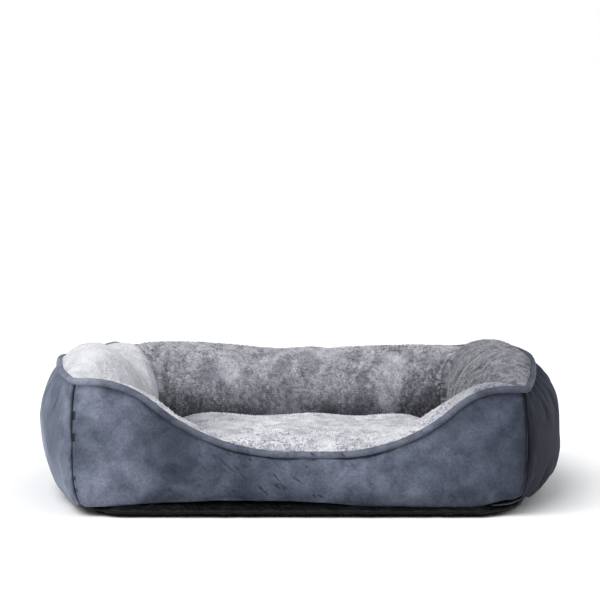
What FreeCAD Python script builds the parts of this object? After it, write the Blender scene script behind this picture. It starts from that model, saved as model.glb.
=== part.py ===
import FreeCAD, Part

import math
import os
import re

import Sketcher

# A rectangular pet bed: four stuffed walls round a sleeping well, with a dipped front wall to step over,
# a corded seam round the rim, a non-slip base tray and a loose cushion.
# X runs along the length, +Y towards the back wall, +Z up. The origin is under the middle of the base.

Vector = FreeCAD.Vector

# The driving dimensions, in millimetres.
SIZES = {
    # overall
    "bed_width": 762,  # across the bowed side walls
    "bed_depth": 610,  # front face to the back wall's furthest point
    "bed_height": 203,  # floor to the crown of the walls
    "corner_width": 610,  # between the left and right corner seams
    "back_bow": 30,  # how far the back wall bows out past its corners
    # the stuffed walls
    "side_thickness": 167,
    "back_thickness": 150,
    "front_thickness": 110,
    "side_crown": 70,  # outer top roll of the side and back walls
    "inner_crown": 55,  # inner top roll of the side and back walls
    "front_crown": 48,  # outer top roll of the front wall
    "front_inner_crown": 42,
    "side_foot": 30,  # bottom roll of the side and back walls
    "front_foot": 12,
    "scoop_height": 98,  # crown of the front wall at its lowest
    "scoop_flat": 80,  # level stretch in the middle of the dip
    "shoulder_radius": 100,  # where the dip meets the full height
    "shoulder_land": 2,  # level rim between the dip and the corner
    "velvet": 2.5,  # outer fabric, pile included
    "plush": 8,  # lining fabric, pile included
    # the corded rim
    "piping_diameter": 9,
    "piping_core": 6,
    "piping_drop": 15,  # cord centre below the crown
    "piping_sink": 2,  # how deep the cord sits in the seam
    "piping_corner": 14,
    "piping_gap": 0.2,
    # the base
    "base_height": 15,
    "base_fabric": 1.5,
    "floor_fabric": 1,
    "base_corner": 40,
    # the loose cushion
    "cushion_thickness": 80,
    "cushion_gap": 4,  # to each wall
    "cushion_rest": 0.5,  # to the floor panel
    "cushion_corner": 45,
    "cushion_roll": 32,
    "cushion_seam": 36,  # side seam above the cushion's underside
    "cushion_underside": 1.5,
    # the making
    "roll_share": 0.45,  # of a thickness: the largest roll that it can take
    "margin": 40,  # how far cutting tools reach past the work
    "split_gap": 8,  # above the foot roll, where the surface between outer fabric and lining steps out
}

# Places and radii that several pieces share, worked out from the sizes above, each from those before it.
PLACES = {
    "half_width": "bed_width / 2",
    "corner_x": "corner_width / 2",
    "front_y": "-bed_depth / 2",
    "back_y": "bed_depth / 2",
    "back_corner_y": "back_y - back_bow",
    "inner_x": "half_width - side_thickness",
    "inner_front_y": "front_y + front_thickness",
    "inner_back_y": "back_y - back_thickness",
    # the bowed side and back walls, as arcs in plan through their corners
    "side_bow": "half_width - corner_x",
    "side_run": "(bed_depth - back_bow) / 2",
    "side_mid_y": "-back_bow / 2",
    "side_radius": "(side_run^2 + side_bow^2) / (2 * side_bow)",
    "side_centre_x": "half_width - side_radius",
    "back_radius": "(corner_x^2 + back_bow^2) / (2 * back_bow)",
    "back_centre_y": "back_y - back_radius",
    # the front wall's rolls, limited by its thickness
    "front_roll": "min(front_crown; front_thickness * roll_share)",
    "front_inner_roll": "min(front_inner_crown; front_thickness * roll_share)",
    # the corded seam: how far inside the outer face it runs, then its line
    "cord_reach": "piping_diameter / 2 - piping_sink",
    "side_seam": "side_crown - sqrt((side_crown + cord_reach)^2 - (side_crown - piping_drop)^2)",
    "front_seam": "front_roll - sqrt((front_roll + cord_reach)^2 - (front_roll - piping_drop)^2)",
    "piping_z": "bed_height - piping_drop",
    "piping_front_y": "front_y + front_seam",
    "piping_side_radius": "side_radius - side_seam",
    "piping_back_radius": "back_radius - side_seam",
    "turn_y": "piping_front_y + piping_corner",
    "turn_x": "side_centre_x + sqrt((piping_side_radius - piping_corner)^2 - (turn_y - side_mid_y)^2)",
    # the dip in the front wall: two arcs a side, level at both ends, which meet at one slope
    "shoulder_x": "turn_x - shoulder_land",
    "dip_run": "shoulder_x - scoop_flat / 2",
    "dip_rise": "bed_height - scoop_height",
    "dip_radii": "(dip_run^2 + dip_rise^2) / (2 * dip_rise)",
    "dip_radius": "dip_radii - shoulder_radius",
    "dip_sine": "dip_run / dip_radii",
    "dip_cosine": "1 - dip_rise / dip_radii",
    # the base's top, and the cushion's sides and bottom
    "floor_z": "base_height",
    "cushion_x": "inner_x - cushion_gap",
    "cushion_front": "inner_front_y + cushion_gap",
    "cushion_back": "inner_back_y - cushion_gap",
    "cushion_z": "floor_z + cushion_rest",
    "seam_z": "cushion_z + cushion_seam",
    # how far cutting tools reach past the work
    "above": "bed_height + margin",
    "beyond_x": "half_width + margin",
    "beyond_y": "back_y + margin",
}
LEFT, RIGHT = 1, -1  # the side of an outline's way on which an arc has its centre
ORIGIN, START, END = -1, 1, 2  # a sketch's numbers for its own origin and for an edge's two ends
SAME_PLACE = 0.01  # mm
VOLUME_TOLERANCE = 0.005
SUB_PARTS = []

doc = FreeCAD.newDocument("pet_bed")


def new_sheet(name, cells):
    sheet = doc.addObject("Spreadsheet::Sheet", name)
    for row, (alias, content) in enumerate(cells.items(), start=1):
        sheet.set(f"A{row}", alias)
        sheet.set(f"B{row}", content)
        sheet.setAlias(f"B{row}", alias)
    doc.recompute()
    return sheet


def with_sheet(name, cells, text):
    """Writes the sheet's name before each of its aliases in text."""
    return re.sub(r"\b(" + "|".join(cells) + r")\b", rf"{name}.\1", text)


sizes = new_sheet("sizes", {alias: str(number) for alias, number in SIZES.items()})
formulas = {alias: "=" + with_sheet("sizes", SIZES, text) for alias, text in PLACES.items()}
places = new_sheet("places", formulas)
working = new_sheet("working", {"result": "0"})


def linked(text):
    """An expression in the sheets' aliases, as another object writes it."""
    return with_sheet("places", PLACES, with_sheet("sizes", SIZES, text))


def value(text):
    """What such an expression comes to."""
    working.set("B1", "=" + linked(text))
    working.recompute()
    return float(working.result)


def dip_points(drop, end):
    """The dipped crown line lowered by drop, from the right end to the left one, with its arc radii."""
    high, low = f"(bed_height - {drop})", f"(scoop_height - {drop})"
    turn_x = f"(scoop_flat / 2 + (dip_radius + {drop}) * dip_sine)"
    turn_z = f"({low} + (dip_radius + {drop}) * (1 - dip_cosine))"
    half = [(end, high), ("shoulder_x", high), (turn_x, turn_z), ("scoop_flat / 2", low)]
    points = half + [(f"-({x})", z) for x, z in reversed(half)]
    shoulder, hollow = f"(shoulder_radius - {drop})", f"(dip_radius + {drop})"
    arcs = {1: (shoulder, LEFT), 2: (hollow, RIGHT), 4: (hollow, RIGHT), 5: (shoulder, LEFT)}
    return points, arcs


def origin_plane(body, role):
    return next(feature for feature in body.Origin.OriginFeatures if feature.Role == role)


def arc_centre(start, end, radius, side):
    """The centre of the lesser arc from start to end."""
    chord = end - start
    across = Vector(-chord.y, chord.x, 0).normalize()
    return (start + end) / 2 + across * side * math.sqrt(radius**2 - chord.Length**2 / 4)


def new_sketch(body, name, role, corners, arcs=None):
    """A closed outline on an origin plane. Each corner is a pair of expressions. Arcs holds the radius and
    side of the arc that starts at a corner, and the other corners start a line."""
    arcs = arcs or {}
    sketch = body.newObject("Sketcher::SketchObject", name)
    sketch.AttachmentSupport = (origin_plane(body, role), [""])
    sketch.MapMode = "FlatFace"
    spots = [Vector(value(x), value(y), 0) for x, y in corners]
    edges = []
    for i, (start, end) in enumerate(zip(spots, spots[1:] + spots[:1])):
        if i in arcs:
            radius, side = arcs[i]
            centre = arc_centre(start, end, value(radius), side)
            first, last = (start, end) if side == LEFT else (end, start)
            angles = [math.atan2(spot.y - centre.y, spot.x - centre.x) for spot in (first, last)]
            circle = Part.Circle(centre, Vector(0, 0, 1), value(radius))
            ends = (START, END) if side == LEFT else (END, START)
            edges.append((sketch.addGeometry(Part.ArcOfCircle(circle, *angles), False), *ends))
        else:
            edges.append((sketch.addGeometry(Part.LineSegment(start, end), False), START, END))

    def drive(kind, number, text, *where):
        index = sketch.addConstraint(Sketcher.Constraint(kind, *where, value(text)))
        sketch.renameConstraint(index, f"{kind}_{number}")
        sketch.setExpression(f"Constraints.{kind}_{number}", linked(text))

    for i, (x, y) in enumerate(corners):
        edge, first, _ = edges[i]
        before, _, last = edges[i - 1]
        sketch.addConstraint(Sketcher.Constraint("Coincident", before, last, edge, first))
        drive("DistanceX", i, x, ORIGIN, START, edge, first)
        drive("DistanceY", i, y, ORIGIN, START, edge, first)
        if i in arcs:
            drive("Radius", i, arcs[i][0], edge)
    return sketch


def bound(shape, **properties):
    """Binds each property to an expression. Where is a place, as X, Y and Z."""
    for axis, place in zip("xyz", properties.pop("where")):
        shape.setExpression(f"Placement.Base.{axis}", linked(place))
    for name, text in properties.items():
        shape.setExpression(name, linked(text))
    return shape


def new_body(name, x="0", y="0", z="0"):
    body = doc.addObject("PartDesign::Body", name)
    return bound(body, where=(x, y, z))


def padded(body, sketch, length, both_ways=False, reverse=False):
    pad = body.newObject("PartDesign::Pad", f"{body.Name}_pad")
    pad.Profile = sketch
    pad.setExpression("Length", linked(length))
    pad.Midplane = both_ways
    pad.Reversed = reverse
    doc.recompute()
    return pad


def revolved(body, sketch):
    turn = body.newObject("PartDesign::Revolution", f"{body.Name}_turn")
    turn.Profile = sketch
    turn.ReferenceAxis = (sketch, ["V_Axis"])
    turn.Angle = 360
    return turn


def rounded(body, base, radius, chosen):
    """Fillets the edges of base whose bounding box chosen() accepts."""
    names = [f"Edge{i}" for i, e in enumerate(base.Shape.Edges, start=1) if chosen(e)]
    fillet = body.newObject("PartDesign::Fillet", f"{body.Name}_round")
    fillet.Base = (base, names)
    fillet.setExpression("Radius", linked(radius))
    doc.recompute()
    return fillet


def combined(kind, name, *shapes):
    result = doc.addObject(f"Part::{kind}", name)
    if kind == "Cut":
        result.Base, result.Tool = shapes
    else:
        result.Shapes = list(shapes)
    return result


def sub_part(shape, label):
    shape.Label = label
    SUB_PARTS.append(shape)
    return shape


def near(a, b):
    return abs(a - b) < SAME_PLACE


def level(edge, z):
    return near(edge.BoundBox.ZMin, z) and near(edge.BoundBox.ZMax, z)


# ---------------------------------------------------------------- walls


def mitre_prism(wall):
    """Everything between a wall's two mitres. They run through its inner and outer corners, past both."""
    inside, outside = "-0.15", "1.6"  # where each mitre starts and ends, as a share of the way between them
    front = ("inner_x", "inner_front_y", "corner_x", "front_y")
    back = ("inner_x", "inner_back_y", "corner_x", "back_corner_y")

    def along(mitre, share, side=""):
        x0, y0, x1, y1 = mitre
        return f"{side}({x0} + {share} * ({x1} - {x0}))", f"{y0} + {share} * ({y1} - {y0})"

    front_out, back_out = along(front, outside), along(back, outside)
    outlines = {
        "right": [
            along(front, inside),
            front_out,
            ("beyond_x", front_out[1]),
            ("beyond_x", back_out[1]),
            back_out,
            along(back, inside),
        ],
        "back": [along(back, inside), back_out, along(back, outside, "-"), along(back, inside, "-")],
        "front": [along(front, inside, "-"), along(front, outside, "-"), front_out, along(front, inside)],
    }
    body = new_body(f"{wall}_mitres")
    padded(body, new_sketch(body, f"{wall}_plan", "XY_Plane", outlines[wall]), "above")
    return body


def outer_disc(name, centre, radius, lid, skin):
    """A disc with the wall's bowed outer side, its top roll and its foot. Lid comes off its top, skin off
    its side."""
    top, edge = f"(bed_height - {lid})", f"({radius} - {skin})"
    crown, foot = f"(side_crown - {lid})", f"(side_foot - {skin})"
    corners = [
        ("0", "floor_z"),
        (f"{edge} - {foot}", "floor_z"),
        (edge, f"floor_z + {foot}"),
        (edge, f"{top} - {crown}"),
        (f"{edge} - {crown}", top),
        ("0", top),
    ]
    arcs = {1: (foot, LEFT), 3: (crown, LEFT)}
    body = new_body(name, *centre)
    revolved(body, new_sketch(body, f"{name}_section", "XZ_Plane", corners, arcs))
    return body


def inner_block(name, plane, face, beyond, length, lid):
    """The wall's straight inner face and top roll, drawn out along the wall. Lid comes off the face and the
    top."""
    face, top, crown = f"({face} + {lid})", f"(bed_height - {lid})", f"(inner_crown - {lid})"
    corners = [
        (face, "floor_z"),
        (beyond, "floor_z"),
        (beyond, top),
        (f"{face} + {crown}", top),
        (face, f"{top} - {crown}"),
    ]
    body = new_body(name)
    sketch = new_sketch(body, f"{name}_section", plane, corners, {3: (crown, LEFT)})
    padded(body, sketch, length, both_ways=True)
    return body


def outer_fabric_ring(name, centre, radius, half_wall):
    """The room of the outer fabric: outside the corded seam, and outside mid-wall underneath."""
    step, seam = "(floor_z + side_foot + split_gap)", f"({radius} - side_seam)"
    middle, beyond = f"({radius} - {half_wall})", f"({radius} + margin)"
    corners = [(middle, "0"), (beyond, "0"), (beyond, "above"), (seam, "above"), (seam, step), (middle, step)]
    body = new_body(name, *centre)
    revolved(body, new_sketch(body, f"{name}_section", "XZ_Plane", corners))
    return body


def bowed_wall(wall, centre, radius, thickness, inner, groove):
    """The outer panel, lining and filling of a wall with a bowed outer face. Inner holds how its inner block
    is drawn."""
    mitres = mitre_prism(wall)
    outside = outer_disc(f"{wall}_disc", centre, radius, "0", "0")
    inside = inner_block(f"{wall}_block", *inner, "0")
    whole = combined("MultiCommon", f"{wall}_whole", outside, inside, mitres)
    core_outside = outer_disc(f"{wall}_core_disc", centre, radius, "plush", "velvet")
    core_inside = inner_block(f"{wall}_core_block", *inner, "plush")
    core = combined("MultiCommon", f"{wall}_core", core_outside, core_inside, mitres)
    ring = outer_fabric_ring(f"{wall}_ring", centre, radius, f"{thickness} / 2")
    return fabrics(wall, whole, core, ring, groove)


def fabrics(wall, whole, core, outer_room, groove):
    """Splits a wall into its outer panel, lining and filling, each relieved for the corded seam."""
    skin = combined("Cut", f"{wall}_skin", whole, core)
    pieces = {
        "outer_panel": combined("MultiCommon", f"{wall}_outer_skin", skin, outer_room),
        "lining": combined("Cut", f"{wall}_inner_skin", skin, outer_room),
        "bolster_fill": core,
    }
    return {
        kind: sub_part(combined("Cut", f"{wall}_{kind}_piece", piece, groove), f"{wall}_{kind}")
        for kind, piece in pieces.items()
    }


def dipped_block(name, lid, skin):
    """The front wall's shape: the dipped outline drawn out from front to back, with its long edges rolled.
    Lid comes off its top and back, skin off its front."""
    end = "(corner_x + margin)"
    points, arcs = dip_points(lid, end)
    deep = f"(front_thickness - {skin} - {lid})"
    body = new_body(name, y=f"front_y + {skin}")
    corners = points + [(f"-{end}", "floor_z"), (end, "floor_z")]
    last = padded(body, new_sketch(body, f"{name}_elevation", "XZ_Plane", corners, arcs), deep, reverse=True)
    floor = value("floor_z")

    def long_edge(edge, y, at_foot):
        box = edge.BoundBox
        on_face = near(box.YMin, y) and near(box.YMax, y) and not near(box.XMin, box.XMax)
        return on_face and level(edge, floor) == at_foot

    rolls = [
        (f"front_roll - {lid}", 0, False),
        (f"front_inner_roll - {lid}", value(deep), False),
        (f"front_foot - {skin}", 0, True),
    ]
    for radius, y, at_foot in rolls:
        last = rounded(body, last, radius, lambda edge: long_edge(edge, y, at_foot))
    return body


def outer_fabric_slab():
    """The room of the front wall's outer fabric: before the corded seam, and before mid-wall underneath."""
    step, before = "(floor_z + front_foot + split_gap)", "(front_y - margin)"
    seam, middle = "piping_front_y", "(front_y + front_thickness / 2)"
    corners = [(before, "0"), (middle, "0"), (middle, step), (seam, step), (seam, "above"), (before, "above")]
    body = new_body("front_slab")
    sketch = new_sketch(body, "front_slab_section", "YZ_Plane", corners)
    padded(body, sketch, "2 * beyond_x", both_ways=True)
    return body


def front_wall(groove):
    mitres = mitre_prism("front")
    whole = combined("MultiCommon", "front_whole", dipped_block("front_block", "0", "0"), mitres)
    core = combined("MultiCommon", "front_core", dipped_block("front_core_block", "plush", "velvet"), mitres)
    fabrics("front", whole, core, outer_fabric_slab(), groove)


def side_walls(groove):
    """The right wall, and the left one as its mirror image."""
    centre = ("side_centre_x", "side_mid_y")
    inner = ("XZ_Plane", "inner_x", "beyond_x", "2 * beyond_y")
    right = bowed_wall("right", centre, "side_radius", "side_thickness", inner, groove)
    for kind, piece in right.items():
        mirrored = doc.addObject("Part::Mirroring", f"left_{kind}_piece")
        mirrored.Source = piece
        mirrored.Normal = Vector(1, 0, 0)
        sub_part(mirrored, f"left_{kind}")


def back_wall(groove):
    inner = ("YZ_Plane", "inner_back_y", "beyond_y", "2 * beyond_x")
    bowed_wall("back", ("0", "back_centre_y"), "back_radius", "back_thickness", inner, groove)


# ---------------------------------------------------------------- corded rim


def circles_meet(first_centre, first_radius, centre, radius):
    """The meeting point of two circles in plan that lies further right."""
    gap = centre - first_centre
    along = (first_radius**2 - radius**2 + gap.Length**2) / (2 * gap.Length)
    middle = first_centre + gap / gap.Length * along
    across = Vector(-gap.y, gap.x, 0) / gap.Length * math.sqrt(first_radius**2 - along**2)
    return max(middle + across, middle - across, key=lambda spot: spot.x)


def arc_between(start, end, centre):
    """The lesser arc about centre."""
    middle = centre + ((start + end) / 2 - centre).normalize() * (start - centre).Length
    return Part.Arc(start, middle, end).toShape()


def dip_edges():
    """The part of the cord's line that follows the dip, from the right corner to the left one."""
    points, arcs = dip_points("piping_drop", "turn_x")
    y = value("piping_front_y")
    spots = [Vector(value(x), y, value(z)) for x, z in points]
    edges = []
    for i, (start, end) in enumerate(zip(spots, spots[1:])):
        if i in arcs:
            radius, side = arcs[i]
            centre = arc_centre(Vector(start.x, start.z, 0), Vector(end.x, end.z, 0), value(radius), side)
            edges.append(arc_between(start, end, Vector(centre.x, y, centre.y)))
        else:
            edges.append(Part.makeLine(start, end))
    return edges


def piping_path():
    """The cord's centre line, one closed loop: the dip, then a small arc at each corner and a bowed arc along
    each side and the back."""
    z, turn = value("piping_z"), value("piping_corner")
    side, back = Vector(value("side_centre_x"), value("side_mid_y"), z), Vector(0, value("back_centre_y"), z)
    side_radius, back_radius = value("piping_side_radius"), value("piping_back_radius")
    front_turn = Vector(value("turn_x"), value("turn_y"), z)
    back_turn = circles_meet(side, side_radius - turn, back, back_radius - turn)
    dip_end = front_turn - Vector(0, turn, 0)
    side_start = front_turn + (front_turn - side).normalize() * turn
    side_end = back_turn + (back_turn - side).normalize() * turn
    back_start = back_turn + (back_turn - back).normalize() * turn
    back_end = Vector(-back_start.x, back_start.y, z)
    right = [
        arc_between(dip_end, side_start, front_turn),
        arc_between(side_start, side_end, side),
        arc_between(side_end, back_start, back_turn),
    ]
    left = [edge.mirror(Vector(0, 0, 0), Vector(1, 0, 0)) for edge in right]
    edges = dip_edges() + right + [arc_between(back_start, back_end, back)] + left
    return Part.Wire(Part.sortEdges(edges)[0])


def tube(name, path, radius):
    """A round tube along the cord's path. Its volume has to be its section times its length."""
    start = path.Edges[0]
    first = start.FirstParameter
    circle = Part.Circle(start.valueAt(first), start.tangentAt(first), value(radius))
    shell = path.makePipeShell([Part.Wire(circle.toShape())], False, False)
    solid = Part.Solid(Part.Shell(shell.Faces))
    if solid.Volume < 0:
        solid.reverse()
    expected = math.pi * value(radius) ** 2 * path.Length
    if abs(solid.Volume / expected - 1) > VOLUME_TOLERANCE:
        raise ValueError(f"{name}: volume {solid.Volume:.0f}, expected {expected:.0f}")
    feature = doc.addObject("Part::Feature", name)
    feature.Shape = solid
    return feature


def corded_rim():
    """The cord and its fabric cover. Returns the room that they need in the walls."""
    path = piping_path()
    sub_part(tube("cord_line", path, "piping_core / 2"), "piping_cord")
    outside = tube("cover_outside", path, "piping_diameter / 2")
    inside = tube("cover_inside", path, "piping_core / 2 + piping_gap")
    sub_part(combined("Cut", "cover_line", outside, inside), "piping_cover")
    return tube("seam_groove", path, "piping_diameter / 2 + piping_gap")


# ---------------------------------------------------------------- base


def plate(name, inset, bottom, top):
    """A plate with the footprint of the bed's flat underside, with inset off its outline."""
    height = f"({top} - {bottom})"
    discs = {
        "right": ("side_radius", "side_centre_x", "side_mid_y"),
        "left": ("side_radius", "-side_centre_x", "side_mid_y"),
        "back": ("back_radius", "0", "back_centre_y"),
    }
    limits = [doc.addObject("Part::Cylinder", f"{name}_{place}") for place in discs]
    for disc, (radius, x, y) in zip(limits, discs.values()):
        bound(disc, Radius=f"{radius} - side_foot - {inset}", Height=height, where=(x, y, bottom))
    box = doc.addObject("Part::Box", f"{name}_front")
    corner = ("-half_width", f"front_y + front_foot + {inset}", bottom)
    limits.append(bound(box, Length="bed_width", Width="bed_depth", Height=height, where=corner))
    sharp = combined("MultiCommon", f"{name}_sharp", *limits)
    doc.recompute()
    radius = value(f"base_corner - {inset}")
    thick = value(height)
    upright = [i for i, e in enumerate(sharp.Shape.Edges, start=1) if near(e.BoundBox.ZLength, thick)]
    fillet = doc.addObject("Part::Fillet", name)
    fillet.Base = sharp
    fillet.Edges = [(i, radius, radius) for i in upright]
    return fillet


def base():
    """A non-slip fabric tray, the wadding in it, and the fabric floor that closes it."""
    wadding_top = "(floor_z - floor_fabric)"
    outside = plate("tray_outside", "0", "0", "floor_z")
    inside = plate("tray_inside", "base_fabric", "base_fabric", "floor_z")
    sub_part(combined("Cut", "tray", outside, inside), "base_panel")
    sub_part(plate("wadding", "base_fabric", "base_fabric", wadding_top), "base_pad")
    sub_part(plate("sheet", "base_fabric", wadding_top, "floor_z"), "floor_panel")


# ---------------------------------------------------------------- cushion


def pillow(name, skin, under, over):
    """The cushion's rounded block, with skin off its sides, under off its bottom and over off its top."""
    x, front, back = f"(cushion_x - {skin})", f"(cushion_front + {skin})", f"(cushion_back - {skin})"
    corner, thick = f"(cushion_corner - {skin})", f"(cushion_thickness - {under} - {over})"
    corners = [
        (f"{corner} - {x}", front),
        (f"{x} - {corner}", front),
        (x, f"{front} + {corner}"),
        (x, f"{back} - {corner}"),
        (f"{x} - {corner}", back),
        (f"{corner} - {x}", back),
        (f"-{x}", f"{back} - {corner}"),
        (f"-{x}", f"{front} + {corner}"),
    ]
    arcs = {i: (corner, LEFT) for i in (1, 3, 5, 7)}
    body = new_body(name, z=f"cushion_z + {under}")
    block = padded(body, new_sketch(body, f"{name}_plan", "XY_Plane", corners, arcs), thick)
    height = value(thick)
    roll = f"min(cushion_roll - {skin}; {thick} * roll_share)"
    rounded(body, block, roll, lambda edge: level(edge, 0) or level(edge, height))
    return body


def slab(name, lower, upper):
    """Everything between two heights."""
    return bound(
        doc.addObject("Part::Box", name),
        Length="bed_width",
        Width="bed_depth",
        Height=f"{upper} - {lower}",
        where=("-half_width", "front_y", lower),
    )


def cushion():
    """A loose cushion: a plush top, a thin underside, and the filling between them."""
    above, below = slab("above_seam", "seam_z", "above"), slab("below_seam", "0", "seam_z")
    outside = pillow("cushion_outside", "0", "0", "0")
    under_plush = pillow("cushion_under_plush", "plush", "cushion_underside", "plush")
    over_underside = pillow("cushion_over_underside", "cushion_underside", "cushion_underside", "plush")
    plush_skin = combined("Cut", "cushion_plush_skin", outside, under_plush)
    thin_skin = combined("Cut", "cushion_thin_skin", outside, over_underside)
    upper_fill = combined("MultiCommon", "cushion_upper_fill", under_plush, above)
    lower_fill = combined("MultiCommon", "cushion_lower_fill", over_underside, below)
    sub_part(combined("MultiCommon", "cushion_top", plush_skin, above), "cushion_top_panel")
    sub_part(combined("MultiCommon", "cushion_bottom", thin_skin, below), "cushion_bottom_panel")
    sub_part(combined("MultiFuse", "cushion_filling", upper_fill, lower_fill), "cushion_fill")


# ---------------------------------------------------------------- making


def check_objects():
    failed = [item.Label for item in doc.Objects if {"Invalid", "Error"} & set(item.State)]
    if failed:
        raise ValueError(f"these objects failed: {failed}")
    for piece in SUB_PARTS:
        if piece.Shape.isNull() or not piece.Shape.isValid() or not piece.Shape.Solids:
            raise ValueError(f"{piece.Label} has no valid solid")


def write_parts():
    os.makedirs("parts", exist_ok=True)
    for piece in SUB_PARTS:
        piece.Shape.exportStep(f"parts/{piece.Label}.step")
        print(f"{piece.Label}: {len(piece.Shape.Solids)} solid, {piece.Shape.Volume / 1000:.1f} cm3")


rim_groove = corded_rim()
front_wall(rim_groove)
side_walls(rim_groove)
back_wall(rim_groove)
base()
cushion()
doc.removeObject(working.Name)
doc.recompute()
check_objects()
write_parts()
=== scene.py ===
import math

import bmesh
import bpy
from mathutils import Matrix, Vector, noise


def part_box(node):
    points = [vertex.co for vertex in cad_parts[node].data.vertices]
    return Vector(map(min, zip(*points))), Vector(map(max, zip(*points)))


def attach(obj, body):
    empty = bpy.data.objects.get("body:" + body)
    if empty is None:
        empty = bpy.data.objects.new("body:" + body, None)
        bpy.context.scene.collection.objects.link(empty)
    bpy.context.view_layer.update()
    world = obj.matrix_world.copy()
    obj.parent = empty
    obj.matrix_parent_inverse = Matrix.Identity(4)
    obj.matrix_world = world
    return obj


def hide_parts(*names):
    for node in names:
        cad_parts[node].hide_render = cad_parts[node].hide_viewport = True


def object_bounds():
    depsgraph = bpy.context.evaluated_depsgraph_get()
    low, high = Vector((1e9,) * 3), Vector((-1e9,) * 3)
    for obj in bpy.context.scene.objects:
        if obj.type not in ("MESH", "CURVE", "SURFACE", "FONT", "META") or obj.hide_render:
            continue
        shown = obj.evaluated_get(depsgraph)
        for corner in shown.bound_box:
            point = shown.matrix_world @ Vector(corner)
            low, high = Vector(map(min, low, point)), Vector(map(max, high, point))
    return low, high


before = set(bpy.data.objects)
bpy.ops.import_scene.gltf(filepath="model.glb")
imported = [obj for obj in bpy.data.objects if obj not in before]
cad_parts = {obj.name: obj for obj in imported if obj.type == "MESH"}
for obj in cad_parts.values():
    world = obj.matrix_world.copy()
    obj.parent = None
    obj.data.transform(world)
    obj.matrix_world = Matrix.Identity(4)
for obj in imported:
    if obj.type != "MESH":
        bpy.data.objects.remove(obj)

# A stuffed pet bed: velvet outside, deep plush over the rolls and inside, a corded seam round the rim,
# a black non-slip base and a loose plush cushion. All lengths are in metres.
# Lists of four values are for the front, right, back and left walls, in that order.

MM = 0.001
cad_low, cad_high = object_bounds()

# ------------------------------------------------------------------ places, from the frame

FRONT_Y, BACK_Y = cad_low.y, cad_high.y
HALF_WIDTH = cad_high.x
CORNER_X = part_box("front_outer_panel")[1].x
BACK_CORNER_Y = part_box("right_outer_panel")[1].y
INNER_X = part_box("right_lining")[0].x
INNER_FRONT_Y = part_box("front_lining")[1].y
INNER_BACK_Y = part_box("back_lining")[0].y
BASE_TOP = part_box("base_panel")[1].z
BASE_X, BASE_BACK_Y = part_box("base_panel")[1].x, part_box("base_panel")[1].y
CUSHION_LOW, CUSHION_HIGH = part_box("cushion_bottom_panel")[0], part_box("cushion_top_panel")[1]

# ------------------------------------------------------------------ sizes of the soft shapes

SIDE_CROWN, BACK_CROWN, BACK_CORNER_CROWN = 201 * MM, 179 * MM, 192 * MM  # the tops of the rolls
SIDE_RIM, BACK_RIM, DIP_RIM = 190 * MM, 171 * MM, 81.5 * MM  # the corded seam's height
BACK_CORNER_DROP = 6 * MM  # of the corded seam from the sides' middle to the back corners
LEFT_SHOULDER_RIM, RIGHT_SHOULDER_RIM = 181 * MM, 170 * MM
# the groove of a corner seam in velvet and in plush, at the front left, front right, back right and back left
SEAM_DEPTH = [(4 * MM, 9 * MM), (4 * MM, 8 * MM), (4 * MM, 14 * MM), (4 * MM, 14 * MM)]
SEAM_WIDTH = (7 * MM, 22 * MM)
RIM_INSET = [12 * MM, 40 * MM, 20 * MM, 28 * MM]  # from a wall's outer face back to the corded seam
FOOT_TUCK = [6 * MM, 24 * MM, 18 * MM, 23 * MM]  # how far a wall's foot goes in under its belly
FOOT_POWER = [3.2, 7, 3.2, 3.2]  # how late it does so: more keeps the wall full nearly to the floor
RIM_POWER, RIM_ROUND = 2.4, 0.6  # how late a wall turns in to the rim, and how round the side walls are there
CORNER_INSET, CORNER_TUCK, CORNER_FOOT_POWER = 7 * MM, 15 * MM, 3.2  # the same at a corner
CORNER_BELLY, CORNER_POWER = 0.52, 2.2  # and there, the belly's height and the roll's power
WALL_LENGTH = 0.6  # about, to turn a share of a wall into a distance
SLACK = [9 * MM, 19 * MM, 9 * MM, 13 * MM]  # from the inner face back to where the swelling starts
DIP_FLAT = (10 * MM, 45 * MM)  # the dip's level stretch, left and right of the middle
DIP_END = 286 * MM  # where it reaches the shoulders
DIP_TURN = 0.69  # of the way between them: where the dip's two arcs meet
BELLY = 0.56  # of the crown's height: where the inner roll starts
OUTER_BELLY = [0.52, 0.55, 0.5, 0.6]  # of the crown's height: where each wall bulges out most
ROLL_POWER = [2.0, 2.3, 2.2, 1.5]  # of the inner rolls, as superellipses: 2 is round, more is squarer
CORD_RADIUS = 4.6 * MM
COLUMNS = 100  # of mesh squares along each wall
VELVET_ROWS, CROWN_ROWS, ROLL_ROWS, FOOT_ROWS = 28, 14, 24, 16
LAST_ROW = VELVET_ROWS + CROWN_ROWS + ROLL_ROWS + FOOT_ROWS
VELVET, PLUSH = 2.5 * MM, 6 * MM  # thickness of the cloths
SEWN = 1 * MM  # thickness of a cloth at its sewn edges
PILE = {"front": 3.5 * MM, "right": 3.5 * MM, "back": 4 * MM, "left": 1.4 * MM}  # length of the plush's tufts
CUSHION_PILE = 2.6 * MM
MERGE = 0.02 * MM  # points closer than this are one

SKY = 0.42  # strength of the white sky
LIGHTS = {  # strength, spread in degrees, and where it comes from
    "key": (2.7, 50, (-0.45, -0.5, 0.85)),
    "fill": (0.9, 70, (0.6, -0.3, 0.7)),
}
CAMERA_DISTANCE, CAMERA_HEIGHT, CAMERA_DIP = 2.4, 0.429, 3.3  # metres from the front, metres up, degrees down


def mix(a, b, share):
    return a + (b - a) * share


def power(base, exponent):
    return max(base, 0) ** exponent


def arch(t):
    """0 at both ends of a wall and 1 in its middle."""
    return 1 - (2 * t - 1) ** 2


def ripple(place, scale, seed=0):
    """Smooth noise from -1 to 1 with bumps about scale across."""
    return noise.noise(Vector(place) / scale + Vector((seed * 7.3, seed * 3.1, seed * 5.7)))


# ------------------------------------------------------------------ the ring of walls

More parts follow.
